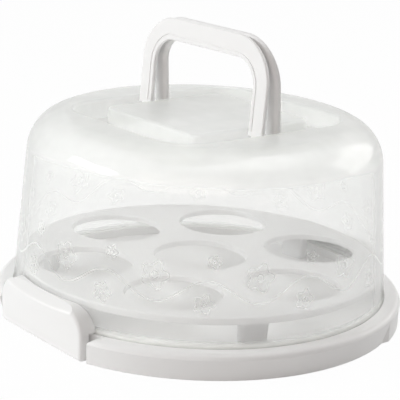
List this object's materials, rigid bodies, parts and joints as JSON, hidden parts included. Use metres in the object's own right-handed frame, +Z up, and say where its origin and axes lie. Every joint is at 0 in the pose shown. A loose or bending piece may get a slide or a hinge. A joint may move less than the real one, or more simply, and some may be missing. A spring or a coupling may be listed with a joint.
{
  "type": "cake carrier",
  "caption": "Round cake carrier with a domed clear lid held by two side latches, two folding handle loops on the lid and a lift-out cupcake tray.",
  "frame": {"origin": "middle of the base's underside, on the table", "axes": "+Z up; the two latches face -Y (front) and +Y (rear), and the handle bar runs along X"},
  "size_m": [0.3076, 0.2996, 0.2162],
  "materials": {
    "white_plastic": "satin white polypropylene",
    "clear_plastic": "milky clear polypropylene"
  },
  "bodies": {
    "base": {"base": "white_plastic"},
    "front_latch": {"front_latch": "white_plastic"},
    "rear_latch": {"rear_latch": "white_plastic"},
    "lid": {"lid": "clear_plastic"},
    "front_handle_loop": {"front_handle_loop": "white_plastic"},
    "rear_handle_loop": {"rear_handle_loop": "white_plastic"},
    "cupcake_tray": {"cupcake_tray": "white_plastic"}
  },
  "joints": [
    {"name": "front_latch_hinge", "type": "hinge", "parent": "base", "child": "front_latch", "pos_m": [0, -0.1408, 0.0068], "axis": [1, 0, 0], "range_deg": [0, 80]},
    {"name": "rear_latch_hinge", "type": "hinge", "parent": "base", "child": "rear_latch", "pos_m": [0, 0.1408, 0.0068], "axis": [-1, 0, 0], "range_deg": [0, 80]},
    {"name": "lid_lift", "type": "slide", "parent": "base", "child": "lid", "axis": [0, 0, 1], "range_m": [0, 0.15]},
    {"name": "tray_lift", "type": "slide", "parent": "base", "child": "cupcake_tray", "axis": [0, 0, 1], "range_m": [0, 0.06]},
    {"name": "front_handle_fold", "type": "hinge", "parent": "lid", "child": "front_handle_loop", "pos_m": [0, -0.0074, 0.1416], "axis": [1, 0, 0], "range_deg": [0, 93]},
    {"name": "rear_handle_fold", "type": "hinge", "parent": "lid", "child": "rear_handle_loop", "pos_m": [0, 0.0074, 0.1416], "axis": [-1, 0, 0], "range_deg": [0, 93]}
  ],
  "couplings": [
    {"joint": "tray_lift", "follows": "lid_lift", "ratio": 0.4}
  ]
}
